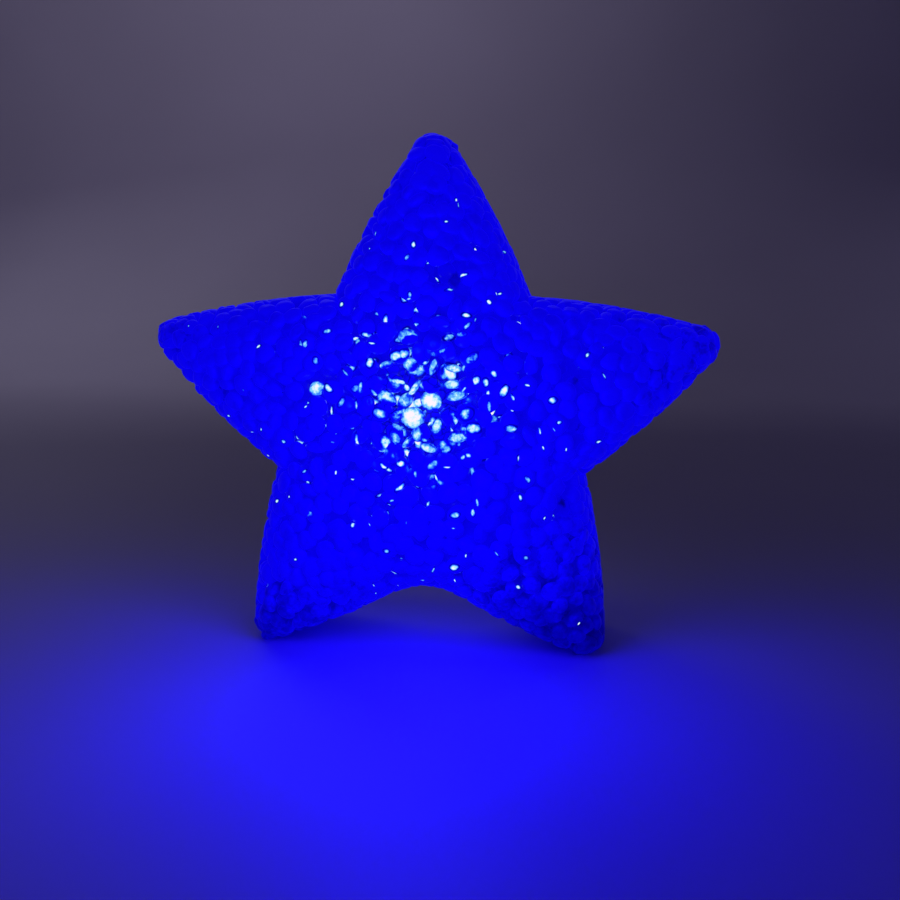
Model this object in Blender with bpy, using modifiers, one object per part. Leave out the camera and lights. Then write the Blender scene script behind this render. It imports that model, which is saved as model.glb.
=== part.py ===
"""A battery night light: a chubby five-pointed star of fused clear pellets with a lamp unit in its back.

The star stands on its two lower points. Its front faces -Y, +X is to the right and +Z is up. The origin
is on the surface it stands on, midway between the feet and midway through its depth. Units are metres.

The star is a hollow body in two halves, joined at the plane Y = 0. A round lamp unit pushes into a
collar in the rear half: a cup with three button cells under a screwed door, a slide switch, and a
circuit board whose LED points at the front wall.
"""

import math

import bmesh
import bpy
from mathutils import Matrix, Vector

MM = 0.001
GAP = 0.3 * MM  # between pieces that touch

# Star body
TIP_REACH = 60.4 * MM  # from the star's centre to the end of an arm
NOTCH_REACH = 33.5 * MM  # from the centre to the corner between two arms
WIDTH_STRETCH = 1.044  # the star is a little wider than a regular one
TIP_RADIUS = 4.2 * MM
ARCH_RADIUS = 14 * MM  # rounding of the notch between the two feet
FLANK_BULGE = 0.9 * MM  # how far an arm's side stands out of a straight line
HALF_DEPTH = 22.5 * MM
WALL = 8 * MM  # about two pellets
FULLNESS = 3.6  # exponent of the body's cross-section: 2 is an ellipse, more is squarer
FOOT_TRIM = 1.5 * MM  # how much of the two lower tips is flat, so that the star stands
CENTRE_HEIGHT = (TIP_REACH - TIP_RADIUS) * math.sin(math.radians(54)) + TIP_RADIUS - FOOT_TRIM
INNER_SCALE = 0.74  # the hollow's outline against the body's, which leaves WALL along the arms
TIP_STEPS = 6
FLANK_STEPS = 4
ARCH_STEPS = 4
LEFT_FOOT = 2  # which arm stands on the left, counted counterclockwise from the top one
OUTER_ROWS = 10
INNER_ROWS = 5

# Places along Y, from the back of the lamp unit to its front
REAR_FACE_Y = 21.9 * MM
FLANGE_UNDER_Y = 20.1 * MM
BACK_WALL_Y = 19.5 * MM
SEAT_Y = 18.5 * MM  # flat ring cut into the star's back, under the flange
COLLAR_END_Y = 12 * MM
BAY_FLOOR_Y = 8.4 * MM
BAY_UNDER_Y = 7.5 * MM
BOARD_BACK_Y = 7.2 * MM
BOARD_FRONT_Y = 6.2 * MM
LED_BASE_Y = 4.9 * MM
COVER_BACK_Y = 3.0 * MM
COVER_FRONT_Y = 1.8 * MM
CUP_END_Y = 1.5 * MM

# Radii about the lamp unit's axis
SEAT_R = 22 * MM
FLANGE_R = 21.5 * MM
HOLE_R = 19 * MM
COLLAR_R = HOLE_R - GAP
COLLAR_BORE_R = 17.6 * MM
CUP_R = COLLAR_BORE_R - GAP
CUP_BORE_R = 15.9 * MM
BOARD_R = 14.8 * MM
LED_HOLE_R = 3.3 * MM

# Button cells, side by side with their axes along X, in a bay above the unit's axis
CELL_R = 5.8 * MM
CELL_THICK = 5.4 * MM
CELL_CAP_R = 4.7 * MM
CELL_STEP = 0.35 * MM
CELL_COUNT = 3
BAY_HALF_X = 10.65 * MM
BAY_HALF_Z = 6.2 * MM
BAY_WALL = 1.0 * MM
BAY_Z = CENTRE_HEIGHT + 3.6 * MM
CONTACT_THICK = 0.4 * MM
CONTACT_HALF_Z = 4.2 * MM
TAIL_HALF_Z = 1.5 * MM
SPRING_LENGTH = 2.2 * MM
SPRING_WIRE_R = 0.22 * MM

# Battery door
DOOR_THICK = 1.2 * MM
DOOR_HALF_X = 11.3 * MM
DOOR_HALF_Z = 6.9 * MM
TAB_R = 2.6 * MM
TAB_Z = CENTRE_HEIGHT + 13.0 * MM
CELL_Y = REAR_FACE_Y - DOOR_THICK - GAP - CELL_R

# Slide switch
SWITCH_Z = CENTRE_HEIGHT - 9.5 * MM
SWITCH_HALF_X = 4.2 * MM
SWITCH_HALF_Z = 1.8 * MM
SWITCH_TOP_Y = BACK_WALL_Y - GAP
SWITCH_DEEP = 4.4 * MM
SWITCH_SLOT_DEEP = 1.2 * MM
PIN_LENGTH = 2.2 * MM
KNOB_HALF_X = 1.0 * MM
KNOB_HALF_Z = 0.9 * MM
KNOB_TRAVEL = 2.0 * MM
KNOB_TOP_Y = HALF_DEPTH
WINDOW_HALF_X = KNOB_HALF_X + KNOB_TRAVEL / 2 + 2 * GAP
WINDOW_HALF_Z = KNOB_HALF_Z + GAP
FINGER_RECESS = 0.8 * MM

# Screws
POST_R = 2.1 * MM
SHANK_R = 0.9 * MM
SCREW_HOLE_R = SHANK_R + GAP
SCREW_HEAD_R = 1.7 * MM
SCREW_HEAD_THICK = 0.9 * MM
DOOR_SINK = 0.6 * MM  # how deep the door screw's head is let into the door
SHANK_LENGTH = 6.5 * MM
POST_PLACES = [(-10.4 * MM, CENTRE_HEIGHT - 9 * MM), (10.4 * MM, CENTRE_HEIGHT - 9 * MM), (0, TAB_Z)]

LED_LENGTH = 8.6 * MM
LED_R = 2.5 * MM
LEAD_PITCH = 2.54 * MM

TO_BACK = (-math.pi / 2, 0, 0)  # turns local +Z to world +Y
TO_FRONT = (math.pi / 2, 0, 0)  # turns local +Z to world -Y
TO_RIGHT = (0, math.pi / 2, 0)  # turns local +Z to world +X


# ---------------------------------------------------------------- helpers


def clear_scene():
    for thing in list(bpy.data.objects):
        bpy.data.objects.remove(thing, do_unlink=True)


def new_collection(name):
    made = bpy.data.collections.new(name)
    bpy.context.scene.collection.children.link(made)
    return made


def plain_material(name, colour, roughness, metallic=0.0, transmission=0.0):
    made = bpy.data.materials.new(name)
    made.use_nodes = True
    shader = made.node_tree.nodes["Principled BSDF"]
    shader.inputs["Base Color"].default_value = (*colour, 1)
    shader.inputs["Roughness"].default_value = roughness
    shader.inputs["Metallic"].default_value = metallic
    shader.inputs["Transmission Weight"].default_value = transmission
    made.diffuse_color = (*colour, 1)
    return made


def put(name, mesh, material=None, place=(0, 0, 0), turn=(0, 0, 0)):
    """An object for a mesh or curve: a part if it has a material, or else a cutter."""
    made = bpy.data.objects.new(name, mesh)
    made.location = place
    made.rotation_euler = turn
    if material:
        mesh.materials.append(material)
        PARTS.objects.link(made)
    else:
        made.display_type = "WIRE"
        made.hide_render = True
        CUTTERS.objects.link(made)
    return made


def smooth(thing, angle=35):
    thing.data.shade_smooth()
    thing.data.set_sharp_from_angle(angle=math.radians(angle))
    return thing


def box(name, low, high, material=None, bevel=0.0):
    """A box between two corners, with its origin at its middle."""
    low, high = Vector(low), Vector(high)
    mesh = bpy.data.meshes.new(name)
    shape = bmesh.new()
    bmesh.ops.create_cube(shape, size=1)
    bmesh.ops.scale(shape, vec=high - low, verts=shape.verts)
    shape.to_mesh(mesh)
    shape.free()
    made = put(name, mesh, material, (low + high) / 2)
    if bevel:
        rounding = made.modifiers.new("rounding", "BEVEL")
        rounding.width = bevel
        rounding.segments = 2
    return made


def rod(name, radius, start, end, material=None, sides=24):
    """A cylinder between two points."""
    start, end = Vector(start), Vector(end)
    mesh = bpy.data.meshes.new(name)
    shape = bmesh.new()
    length = (end - start).length
    bmesh.ops.create_cone(
        shape, cap_ends=True, segments=sides, radius1=radius, radius2=radius, depth=length
    )
    shape.to_mesh(mesh)
    shape.free()
    made = put(name, mesh, material, (start + end) / 2)
    made.rotation_euler = (end - start).to_track_quat("Z", "Y").to_euler()
    return made


def turned(name, profile, closed, steps, material, place, turn):
    """A profile of (radius, height) points turned about the local Z axis. Its outer side runs downwards."""
    mesh = bpy.data.meshes.new(name)
    shape = bmesh.new()
    points = [shape.verts.new((radius, 0, height)) for radius, height in profile]
    for first, second in zip(points, points[1:]):
        shape.edges.new((first, second))
    if closed:
        shape.edges.new((points[-1], points[0]))
    shape.to_mesh(mesh)
    shape.free()
    made = put(name, mesh, material, place, turn)
    turning = made.modifiers.new("turning", "SCREW")
    turning.axis = "Z"
    turning.steps = steps
    turning.render_steps = steps
    turning.use_merge_vertices = True
    turning.merge_threshold = 0.00001
    turning.use_smooth_shade = False
    return made


def boolean(thing, other, operation):
    step = thing.modifiers.new(operation.lower() + "_" + other.name, "BOOLEAN")
    step.operation = operation
    step.solver = "EXACT"
    step.object = other


def cut(thing, *cutters):
    for cutter in cutters:
        boolean(thing, cutter, "DIFFERENCE")


def join(thing, *others):
    for other in others:
        boolean(thing, other, "UNION")


def wire(name, points, radius, material, resolution=2):
    """A round wire along a line of points, as a curve with filled ends."""
    line = bpy.data.curves.new(name, "CURVE")
    line.dimensions = "3D"
    line.bevel_depth = radius
    line.bevel_resolution = resolution
    line.use_fill_caps = True
    run = line.splines.new("POLY")
    run.points.add(len(points) - 1)
    for point, place in zip(run.points, points):
        point.co = (*place, 1)
    return put(name, line, material)


def outline(name, points, thickness, material, place, turn):
    """A flat plate with the given outline, in the local XY plane."""
    shape = bpy.data.curves.new(name, "CURVE")
    shape.dimensions = "2D"
    shape.fill_mode = "BOTH"
    shape.extrude = thickness / 2
    run = shape.splines.new("POLY")
    run.points.add(len(points) - 1)
    for point, (across, up) in zip(run.points, points):
        point.co = (across, up, 0, 1)
    run.use_cyclic_u = True
    return put(name, shape, material, place, turn)


def arc(centre, radius, start, end, steps):
    """Points on an arc, with angles in degrees."""
    angles = [math.radians(start + (end - start) * i / steps) for i in range(steps + 1)]
    return [(centre[0] + radius * math.cos(a), centre[1] + radius * math.sin(a)) for a in angles]


def group(name, place, parent, *things):
    """An empty at a joint's axis, which carries the pieces that move with it."""
    made = bpy.data.objects.new(name, None)
    made.empty_display_size = 5 * MM
    made.location = place
    PARTS.objects.link(made)
    bpy.context.view_layer.update()
    if parent:
        made.parent = parent
        made.matrix_parent_inverse = parent.matrix_world.inverted()
    bpy.context.view_layer.update()
    for thing in things:
        thing.parent = made
        thing.matrix_parent_inverse = made.matrix_world.inverted()
    return made


# ---------------------------------------------------------------- the star


def arm_outline():
    """One arm's outline as (along, across) points, from its right side round the tip to the next notch."""
    tip_centre = TIP_REACH - TIP_RADIUS
    half_turn = math.radians(36)
    notch = Vector((NOTCH_REACH * math.cos(half_turn), NOTCH_REACH * math.sin(half_turn)))
    to_notch = notch - Vector((tip_centre, 0))
    tangent = math.atan2(to_notch.y, to_notch.x) - math.acos(TIP_RADIUS / to_notch.length)
    degrees = math.degrees(tangent)
    tip = [Vector(p) for p in arc((tip_centre, 0), TIP_RADIUS, -degrees, degrees, TIP_STEPS)]
    side = notch - tip[-1]
    outward = Vector((-side.y, side.x)).normalized()
    if outward.y < 0:
        outward = -outward
    left = []
    for i in range(1, FLANK_STEPS):
        share = i / FLANK_STEPS
        left.append(tip[-1] + side * share + outward * FLANK_BULGE * 4 * share * (1 - share))
    right = [Vector((p.x, -p.y)) for p in reversed(left)]
    return right + tip + left + [notch]


def foot_arch(before):
    """The notch between the two feet as an arc that touches both feet; before is the last point ahead of it."""
    opening = math.atan2(-before.x, -before.y - NOTCH_REACH)
    lean = 90 - math.degrees(opening)
    centre = (0, -NOTCH_REACH - ARCH_RADIUS / math.sin(opening))
    return [Vector(p) for p in arc(centre, ARCH_RADIUS, 90 + lean, 90 - lean, ARCH_STEPS)]


def star_outline():
    """The star's outline as (x, z) points about its centre, counterclockwise seen from the front."""
    points = []
    for i in range(5):
        turn = Matrix.Rotation(math.radians(90 + 72 * i), 2)
        arm = [turn @ p for p in arm_outline()]
        if i == LEFT_FOOT:
            arm[-1:] = foot_arch(arm[-2])
        points += [(p.x * WIDTH_STRETCH, p.y) for p in arm]
    return points


def section(scale, y):
    """The star's outline at one depth, with the two lower tips cut flat where they stand."""
    return [Vector((x * scale, y, max(CENTRE_HEIGHT + z * scale, 0))) for x, z in star_outline()]


def dome(scale, depth, rows, side):
    """Sections of a domed half body from its rim to near its middle, and its middle point."""
    sections = []
    for i in range(rows):
        angle = math.radians(90 * i / rows)
        shrink = math.cos(angle) ** (2 / FULLNESS)
        rise = math.sin(angle) ** (2 / FULLNESS)
        y = side * (GAP / 2 + (depth - GAP / 2) * rise)
        sections.append(section(scale * shrink, y))
    return sections, Vector((0, side * depth, CENTRE_HEIGHT))


def half_body(name, side, material):
    """Half of the hollow star, towards -Y or +Y: a loft from its outer middle over the rim to the inner."""
    outer, outer_middle = dome(1, HALF_DEPTH, OUTER_ROWS, side)
    inner, inner_middle = dome(INNER_SCALE, HALF_DEPTH - WALL, INNER_ROWS, side)
    sections = outer[::-1] + inner
    shape = bmesh.new()
    loops = [[shape.verts.new(p) for p in points] for points in sections]
    ends = [(shape.verts.new(outer_middle), loops[0]), (shape.verts.new(inner_middle), loops[-1])]
    count = len(loops[0])
    for first, second in zip(loops, loops[1:]):
        for i in range(count):
            j = (i + 1) % count
            shape.faces.new((first[i], first[j], second[j], second[i]))
    for middle, loop in ends:
        for i in range(count):
            shape.faces.new((middle, loop[i], loop[(i + 1) % count]))
    bmesh.ops.recalc_face_normals(shape, faces=shape.faces)
    mesh = bpy.data.meshes.new(name)
    shape.to_mesh(mesh)
    shape.free()
    return smooth(put(name, mesh, material), 40)


def make_star(clear):
    front = half_body("front_pellet_shell", -1, clear)
    rear = half_body("rear_pellet_shell", 1, clear)
    past = HALF_DEPTH + 5 * MM
    hole = rod("hole_cutter", HOLE_R, (0, 0.5 * MM, CENTRE_HEIGHT), (0, past, CENTRE_HEIGHT), sides=48)
    seat = rod("seat_cutter", SEAT_R, (0, SEAT_Y, CENTRE_HEIGHT), (0, past, CENTRE_HEIGHT), sides=48)
    cut(rear, hole, seat)
    return front, rear


def make_collar(material):
    profile = [
        (COLLAR_BORE_R, SEAT_Y),
        (COLLAR_R, SEAT_Y),
        (COLLAR_R, COLLAR_END_Y),
        (COLLAR_BORE_R, COLLAR_END_Y),
    ]
    return turned("mounting_collar", profile, True, 48, material, (0, 0, CENTRE_HEIGHT), TO_BACK)


# ---------------------------------------------------------------- the lamp unit


def make_housing(material):
    edge = 0.4 * MM
    profile = [
        (0, REAR_FACE_Y),
        (FLANGE_R - edge, REAR_FACE_Y),
        (FLANGE_R, REAR_FACE_Y - edge),
        (FLANGE_R, FLANGE_UNDER_Y + edge),
        (FLANGE_R - edge, FLANGE_UNDER_Y),
        (CUP_R, FLANGE_UNDER_Y),
        (CUP_R, CUP_END_Y),
        (CUP_BORE_R, CUP_END_Y),
        (CUP_BORE_R, BACK_WALL_Y),
        (0, BACK_WALL_Y),
    ]
    housing = turned("lamp_housing", profile, False, 48, material, (0, 0, CENTRE_HEIGHT), TO_BACK)
    inside = BACK_WALL_Y + 0.5 * MM
    outer_x = BAY_HALF_X + BAY_WALL
    outer_z = BAY_HALF_Z + BAY_WALL
    block = box(
        "bay_block",
        (-outer_x, BAY_UNDER_Y, BAY_Z - outer_z),
        (outer_x, inside, BAY_Z + outer_z),
    )
    posts = [
        rod(f"post_{i + 1}", POST_R, (x, BOARD_BACK_Y + GAP, z), (x, inside, z), sides=20)
        for i, (x, z) in enumerate(POST_PLACES)
    ]
    join(housing, block, *posts)
    cut(housing, *bay_cutters(), *switch_cutters(), *screw_hole_cutters())
    return housing


def bay_cutters():
    past = REAR_FACE_Y + 3 * MM
    recess_y = REAR_FACE_Y - DOOR_THICK - GAP
    bay = box(
        "bay_cutter",
        (-BAY_HALF_X, BAY_FLOOR_Y, BAY_Z - BAY_HALF_Z),
        (BAY_HALF_X, past, BAY_Z + BAY_HALF_Z),
    )
    recess = box(
        "door_recess_cutter",
        (-DOOR_HALF_X - GAP, recess_y, BAY_Z - DOOR_HALF_Z - GAP),
        (DOOR_HALF_X + GAP, past, BAY_Z + DOOR_HALF_Z + GAP),
    )
    tab = rod("tab_recess_cutter", TAB_R + GAP, (0, recess_y, TAB_Z), (0, past, TAB_Z), sides=32)
    slots = []
    for side, place in ((-1, "left"), (1, "right")):
        middle = side * (BAY_HALF_X - GAP - CONTACT_THICK / 2)
        half = CONTACT_THICK / 2 + GAP
        slots.append(
            box(
                f"tail_slot_{place}",
                (middle - half, BAY_UNDER_Y - 1 * MM, BAY_Z - TAIL_HALF_Z - GAP),
                (middle + half, BAY_FLOOR_Y + 1 * MM, BAY_Z + TAIL_HALF_Z + GAP),
            )
        )
    return [bay, recess, tab, *slots]


def switch_cutters():
    past = REAR_FACE_Y + 3 * MM
    window = box(
        "switch_window_cutter",
        (-WINDOW_HALF_X, BACK_WALL_Y - 1 * MM, SWITCH_Z - WINDOW_HALF_Z),
        (WINDOW_HALF_X, past, SWITCH_Z + WINDOW_HALF_Z),
    )
    finger = box(
        "finger_recess_cutter",
        (-SWITCH_HALF_X, REAR_FACE_Y - FINGER_RECESS, SWITCH_Z - SWITCH_HALF_Z - GAP),
        (SWITCH_HALF_X, past, SWITCH_Z + SWITCH_HALF_Z + GAP),
    )
    return [window, finger]


def screw_hole_cutters():
    """Holes for the cover screws from the front of each post, and one for the door screw from the back."""
    deep = BOARD_BACK_Y + 5.5 * MM
    holes = [
        rod(f"cover_screw_hole_{i + 1}", SCREW_HOLE_R, (x, BAY_UNDER_Y - 1 * MM, z), (x, deep, z), sides=16)
        for i, (x, z) in enumerate(POST_PLACES)
    ]
    reach = SHANK_LENGTH + GAP
    start = REAR_FACE_Y - DOOR_THICK - reach
    past = REAR_FACE_Y + 3 * MM
    door = rod("door_screw_hole", SCREW_HOLE_R, (0, start, TAB_Z), (0, past, TAB_Z), sides=16)
    return [*holes, door]


def make_foam_ring(material):
    top = FLANGE_UNDER_Y - GAP
    bottom = SEAT_Y + GAP
    inner = CUP_R + 1.4 * MM
    outer = FLANGE_R - GAP
    profile = [(inner, top), (outer, top), (outer, bottom), (inner, bottom)]
    return turned("foam_ring", profile, True, 40, material, (0, 0, CENTRE_HEIGHT), TO_BACK)


def make_inner_cover(material):
    """The cap on the cup's open end. Its hole flares into a shallow dish around the LED."""
    outer = CUP_BORE_R - GAP
    dish = 7 * MM
    profile = [
        (LED_HOLE_R, COVER_BACK_Y),
        (outer, COVER_BACK_Y),
        (outer, COVER_FRONT_Y),
        (dish, COVER_FRONT_Y),
        (LED_HOLE_R, COVER_BACK_Y - 0.5 * MM),
    ]
    cover = turned("inner_cover", profile, True, 48, material, (0, 0, CENTRE_HEIGHT), TO_BACK)
    for i, (x, z) in enumerate(POST_PLACES):
        start = (x, COVER_FRONT_Y - 1 * MM, z)
        end = (x, COVER_BACK_Y + 1 * MM, z)
        cut(cover, rod(f"cover_hole_{i + 1}", SCREW_HOLE_R, start, end, sides=16))
    return cover


def make_circuit_board(material):
    front = (0, BOARD_FRONT_Y, CENTRE_HEIGHT)
    back = (0, BOARD_BACK_Y, CENTRE_HEIGHT)
    board = rod("circuit_board", BOARD_R, front, back, material, sides=48)
    before = BOARD_FRONT_Y - 1 * MM
    behind = BOARD_BACK_Y + 1 * MM
    for i, (x, z) in enumerate(POST_PLACES):
        cut(board, rod(f"board_hole_{i + 1}", SCREW_HOLE_R, (x, before, z), (x, behind, z), sides=16))
    for side, place in ((-1, "left"), (1, "right")):
        x = side * LEAD_PITCH / 2
        low = (x, before, CENTRE_HEIGHT)
        high = (x, behind, CENTRE_HEIGHT)
        cut(board, rod(f"lead_hole_{place}", 0.6 * MM, low, high, sides=12))
    return board


def make_led(material, lead_material):
    """A 5 mm LED with its rim against the board, and its two square leads through it."""
    rim = LED_R + 0.4 * MM
    rim_height = 1 * MM
    shoulder = LED_LENGTH - LED_R
    profile = [(p[0], p[1]) for p in reversed(arc((0, shoulder), LED_R, 0, 90, 6))]
    profile[0] = (0, LED_LENGTH)
    profile += [(LED_R, rim_height), (rim, rim_height), (rim, 0), (0, 0)]
    place = (0, LED_BASE_Y, CENTRE_HEIGHT)
    led = smooth(turned("led", profile, False, 24, material, place, TO_FRONT))
    half = 0.25 * MM
    leads = []
    for side, name in ((-1, "led_lead_anode"), (1, "led_lead_cathode")):
        x = side * LEAD_PITCH / 2
        low = (x - half, LED_BASE_Y + GAP, CENTRE_HEIGHT - half)
        high = (x + half, BOARD_BACK_Y, CENTRE_HEIGHT + half)
        leads.append(box(name, low, high, lead_material))
    return led, *leads


def make_resistor(material):
    x = 6 * MM
    z = CENTRE_HEIGHT - 3 * MM
    high_y = BOARD_FRONT_Y - GAP
    low = (x - 1.6 * MM, high_y - 0.6 * MM, z - 0.8 * MM)
    high = (x + 1.6 * MM, high_y, z + 0.8 * MM)
    return box("resistor", low, high, material, bevel=0.1 * MM)


def make_switch(frame_material, knob_material, wire_material):
    bottom = SWITCH_TOP_Y - SWITCH_DEEP
    frame = box(
        "switch_frame",
        (-SWITCH_HALF_X, bottom, SWITCH_Z - SWITCH_HALF_Z),
        (SWITCH_HALF_X, SWITCH_TOP_Y, SWITCH_Z + SWITCH_HALF_Z),
        frame_material,
    )
    pin_end = bottom - PIN_LENGTH
    half = 0.3 * MM
    for i in (-1, 0, 1):
        x = i * 2.5 * MM
        low = (x - half, pin_end, SWITCH_Z - half)
        high = (x + half, bottom + 0.5 * MM, SWITCH_Z + half)
        join(frame, box(f"switch_pin_{i + 2}", low, high))
    slot_floor = SWITCH_TOP_Y - SWITCH_SLOT_DEEP
    slot = box(
        "switch_slot_cutter",
        (-WINDOW_HALF_X, slot_floor, SWITCH_Z - WINDOW_HALF_Z),
        (WINDOW_HALF_X, SWITCH_TOP_Y + 1 * MM, SWITCH_Z + WINDOW_HALF_Z),
    )
    cut(frame, slot)
    middle = KNOB_TRAVEL / 2
    knob = box(
        "switch_knob",
        (middle - KNOB_HALF_X, slot_floor + GAP, SWITCH_Z - KNOB_HALF_Z),
        (middle + KNOB_HALF_X, KNOB_TOP_Y, SWITCH_Z + KNOB_HALF_Z),
        knob_material,
        bevel=0.2 * MM,
    )
    wires = []
    for side, number in ((-1, 1), (0, 2)):
        x = side * 2.5 * MM
        points = [
            (x, pin_end - GAP, SWITCH_Z),
            (x, pin_end - 1.2 * MM, SWITCH_Z),
            (x - 0.8 * MM, BOARD_BACK_Y + 2.2 * MM, SWITCH_Z + 1.2 * MM),
            (x - 1.0 * MM, BOARD_BACK_Y + 1.2 * MM, SWITCH_Z + 1.8 * MM),
            (x - 1.0 * MM, BOARD_BACK_Y + GAP, SWITCH_Z + 1.8 * MM),
        ]
        wires.append(wire(f"switch_wire_{number}", points, 0.45 * MM, wire_material))
    return frame, knob, *wires


def make_contacts(metal, spring_metal):
    """Two flat plates at the ends of the bay, each with a tail down to the board, and the coil spring."""
    top = CELL_Y + 4 * MM
    shelf = BAY_FLOOR_Y + GAP
    end = BOARD_BACK_Y + GAP
    half = CONTACT_HALF_Z
    tail = TAIL_HALF_Z
    points = [(half, shelf), (half, top), (-half, top), (-half, shelf)]
    points += [(-tail, shelf), (-tail, end), (tail, end), (tail, shelf)]
    stand_up = (0, math.pi / 2, 0)
    plates = []
    for side, name in ((-1, "positive_contact"), (1, "negative_contact")):
        x = side * (BAY_HALF_X - GAP - CONTACT_THICK / 2)
        plates.append(outline(name, points, CONTACT_THICK, metal, (x, 0, BAY_Z), stand_up))
    first = BAY_HALF_X - 2 * GAP - CONTACT_THICK - SPRING_LENGTH
    turns, per_turn = 3, 14
    coil = []
    for i in range(turns * per_turn + 1):
        share = i / (turns * per_turn)
        angle = 2 * math.pi * turns * share
        radius = (1.6 + 2.0 * share) * MM
        x = first + SPRING_WIRE_R + (SPRING_LENGTH - 2 * SPRING_WIRE_R) * share
        coil.append((x, CELL_Y + radius * math.cos(angle), BAY_Z + radius * math.sin(angle)))
    spring = wire("negative_spring", coil, SPRING_WIRE_R, spring_metal, resolution=1)
    return *plates, spring


def make_cells(material):
    """Three button cells between the contacts, their negative caps towards the spring."""
    round_r = 0.4 * MM
    body_top = CELL_THICK - CELL_STEP
    profile = [
        (0, CELL_THICK),
        (CELL_CAP_R, CELL_THICK),
        (CELL_CAP_R, body_top),
        (CELL_R - round_r, body_top),
        (CELL_R, body_top - round_r),
        (CELL_R, round_r),
        (CELL_R - round_r, 0),
        (0, 0),
    ]
    first = -BAY_HALF_X + 2 * GAP + CONTACT_THICK + GAP / 3
    cells = []
    for i in range(CELL_COUNT):
        x = first + i * (CELL_THICK + GAP)
        name = f"button_cell_{i + 1}"
        cells.append(turned(name, profile, False, 28, material, (x, CELL_Y, BAY_Z), TO_RIGHT))
    return cells


def make_door(material):
    """A flat door with a round tab for its screw, which drops into a recess in the housing."""
    low = -DOOR_HALF_Z
    high = DOOR_HALF_Z
    tab = TAB_Z - BAY_Z
    lean = math.degrees(math.asin((high - tab) / TAB_R)) if tab > high - TAB_R else 0
    rounding = arc((0, tab), TAB_R, lean, 180 - lean, 10)
    corner = 0.8 * MM
    wide = DOOR_HALF_X
    points = [(-wide, low), (wide, low), (wide, high - corner), (wide - corner, high)]
    points += [*rounding, (corner - wide, high), (-wide, high - corner)]
    flat = outline("battery_door_outline", points, DOOR_THICK, material, (0, 0, 0), (0, 0, 0))
    door = as_mesh(flat, "battery_door")
    door.rotation_euler = TO_FRONT
    door.location = (0, REAR_FACE_Y - DOOR_THICK / 2, BAY_Z)
    head = rod(
        "door_screw_sink",
        SCREW_HEAD_R + GAP,
        (0, REAR_FACE_Y - DOOR_SINK, TAB_Z),
        (0, REAR_FACE_Y + 3 * MM, TAB_Z),
        sides=24,
    )
    behind = REAR_FACE_Y - DOOR_THICK - 1 * MM
    through = rod(
        "door_screw_through", SCREW_HOLE_R, (0, behind, TAB_Z), (0, REAR_FACE_Y + 3 * MM, TAB_Z), sides=16
    )
    cut(door, head, through)
    return door


def as_mesh(curve_object, name):
    """A curve's solid as a mesh object, with its loose caps joined on, so that it can be cut."""
    bpy.context.view_layer.update()
    graph = bpy.context.evaluated_depsgraph_get()
    mesh = bpy.data.meshes.new_from_object(curve_object.evaluated_get(graph))
    shape = bmesh.new()
    shape.from_mesh(mesh)
    bmesh.ops.remove_doubles(shape, verts=shape.verts, dist=0.000001)
    shape.to_mesh(mesh)
    shape.free()
    made = bpy.data.objects.new(name, mesh)
    made.matrix_world = curve_object.matrix_world.copy()
    PARTS.objects.link(made)
    bpy.data.objects.remove(curve_object, do_unlink=True)
    return made


def make_screw(name, x, z, head_y, direction, length, material):
    """A pan-head screw whose head rests at head_y and whose shank points along +Y or -Y."""
    head = SCREW_HEAD_THICK
    profile = [
        (0, head),
        (SCREW_HEAD_R * 0.7, head),
        (SCREW_HEAD_R, head * 0.55),
        (SCREW_HEAD_R, 0),
        (SHANK_R, 0),
        (SHANK_R, SHANK_R - length),
        (0, -length),
    ]
    turn = TO_FRONT if direction > 0 else TO_BACK
    return smooth(turned(name, profile, False, 16, material, (x, head_y, z), turn))


# ---------------------------------------------------------------- the whole light

clear_scene()
PARTS = new_collection("star_night_light")
CUTTERS = new_collection("cutters")

clear_pellets = plain_material("clear_pellets", (0.10, 0.06, 1.0), 0.12, transmission=0.6)
white_plastic = plain_material("white_plastic", (0.86, 0.86, 0.84), 0.4)
black_foam = plain_material("black_foam", (0.05, 0.05, 0.05), 0.9)
green_board = plain_material("green_board", (0.04, 0.22, 0.09), 0.45)
clear_epoxy = plain_material("clear_epoxy", (0.6, 0.75, 1.0), 0.08, transmission=0.8)
tinned_metal = plain_material("tinned_metal", (0.75, 0.75, 0.74), 0.3, 1.0)
plated_steel = plain_material("plated_steel", (0.7, 0.7, 0.69), 0.25, 1.0)
spring_steel = plain_material("spring_steel", (0.62, 0.62, 0.6), 0.3, 1.0)
screw_steel = plain_material("screw_steel", (0.35, 0.35, 0.36), 0.35, 1.0)
cell_steel = plain_material("cell_steel", (0.78, 0.78, 0.76), 0.2, 1.0)
chip_black = plain_material("chip_black", (0.03, 0.03, 0.03), 0.5)
black_plastic = plain_material("black_plastic", (0.03, 0.03, 0.03), 0.45)
red_wire = plain_material("red_wire", (0.6, 0.03, 0.02), 0.5)

make_star(clear_pellets)
make_collar(white_plastic)

housing = make_housing(white_plastic)
inside = [housing, make_foam_ring(black_foam), make_inner_cover(white_plastic)]
inside += [make_circuit_board(green_board), make_resistor(chip_black)]
inside += make_led(clear_epoxy, tinned_metal)
frame, knob, *wires = make_switch(plated_steel, black_plastic, red_wire)
inside += [frame, *wires]
inside += make_contacts(tinned_metal, spring_steel)
inside += make_cells(cell_steel)
for number, (post_x, post_z) in enumerate(POST_PLACES):
    screw_name = f"cover_screw_{number + 1}"
    head_at = COVER_FRONT_Y - GAP
    inside.append(make_screw(screw_name, post_x, post_z, head_at, 1, SHANK_LENGTH, screw_steel))

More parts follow.
